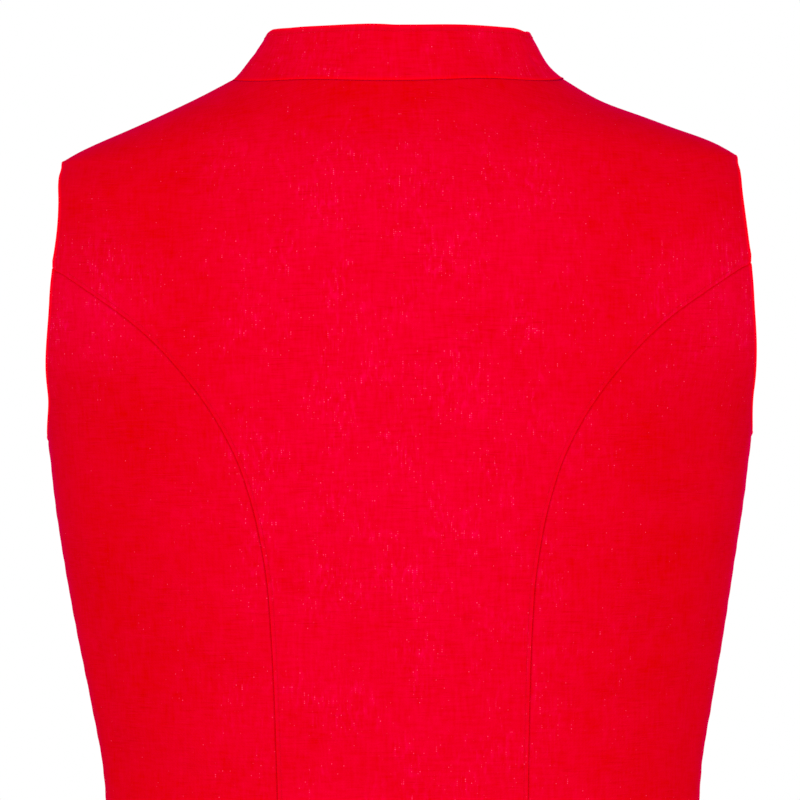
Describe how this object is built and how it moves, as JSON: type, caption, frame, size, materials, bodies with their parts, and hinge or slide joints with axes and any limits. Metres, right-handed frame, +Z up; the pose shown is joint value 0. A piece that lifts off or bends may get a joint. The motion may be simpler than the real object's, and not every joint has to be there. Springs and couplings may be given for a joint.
{
  "type": "dirndl",
  "caption": "Sleeveless linen dirndl, worn hollow form: stand collar, princess-seamed bodice buttoned down the front, gathered skirt sewn on at the waist.",
  "frame": {"origin": "middle of the neck, level with the two points where the shoulder seams meet the collar", "axes": "+Z up the wearer's back, -Y out of the buttoned front, +X towards the wearer's left"},
  "size_m": [0.6928, 0.6313, 1.1377],
  "materials": {
    "linen": "matt plain-weave linen, garment dyed",
    "covered_button": "dome covered in the dress's own linen"
  },
  "bodies": {
    "root": {"collar": "linen", "back_centre": "linen", "back_side_left": "linen", "back_side_right": "linen", "front_side_left": "linen", "front_side_right": "linen", "front_centre_left": "linen", "front_centre_right": "linen", "skirt_front_right": "linen", "skirt_back": "linen", "skirt_front_left": "linen", "button_1": "covered_button", "button_2": "covered_button", "button_3": "covered_button", "button_4": "covered_button", "button_5": "covered_button", "button_6": "covered_button", "button_7": "covered_button", "button_8": "covered_button"}
  },
  "joints": []
}
